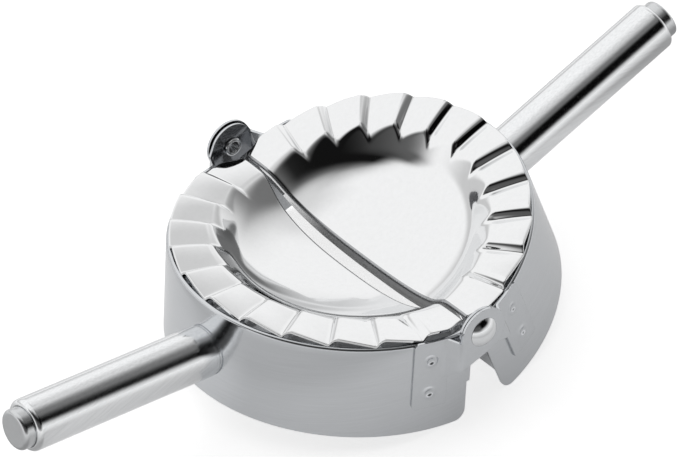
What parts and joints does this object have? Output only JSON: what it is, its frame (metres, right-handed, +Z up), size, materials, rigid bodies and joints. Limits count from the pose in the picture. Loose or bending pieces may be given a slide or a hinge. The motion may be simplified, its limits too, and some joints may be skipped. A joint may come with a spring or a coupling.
{
  "type": "folding empanada press",
  "caption": "Folding press of polished steel for sealing empanadas: half bowls with meshing pleated rims on round cutter skirts, hinged at both ends, each with a tube handle.",
  "frame": {"origin": "on the table, under the middle of the hinge line, with the press standing half open", "axes": "+X across the hinge line towards the far handle, +Y along the hinge line towards the back hinge, +Z up"},
  "size_m": [0.2194, 0.1098, 0.0403],
  "materials": {
    "polished_shell": "stainless sheet polished to a mirror",
    "satin_skirt": "stainless sheet with a satin polish",
    "satin_bracket": "stainless sheet, satin",
    "brushed_handle": "stainless tube polished lengthwise",
    "handle_end": "turned steel plug, satin",
    "inner_steel": "plain steel",
    "polished_rivet": "polished steel rivet"
  },
  "bodies": {
    "near_half": {"near_top_shell": "polished_shell", "near_skirt": "satin_skirt", "near_outer_hinge_bracket": "satin_bracket", "near_inner_hinge_bracket": "satin_bracket", "near_handle_tube": "brushed_handle", "near_handle_end_cap": "handle_end", "near_handle_root_plug": "inner_steel", "near_handle_screw": "inner_steel", "near_screw_washer": "inner_steel", "front_hinge_rivet": "polished_rivet", "back_hinge_rivet": "polished_rivet", "front_hinge_washer": "inner_steel", "back_hinge_washer": "inner_steel"},
    "far_half": {"far_top_shell": "polished_shell", "far_skirt": "satin_skirt", "far_outer_hinge_bracket": "satin_bracket", "far_inner_hinge_bracket": "satin_bracket", "far_handle_tube": "brushed_handle", "far_handle_end_cap": "handle_end", "far_handle_root_plug": "inner_steel", "far_handle_screw": "inner_steel", "far_screw_washer": "inner_steel"}
  },
  "joints": [
    {"name": "hinge_fold", "type": "hinge", "parent": "near_half", "child": "far_half", "pos_m": [0, 0, 0.02788], "axis": [0, -1, 0], "range_deg": [-24.4, 155.4]}
  ]
}
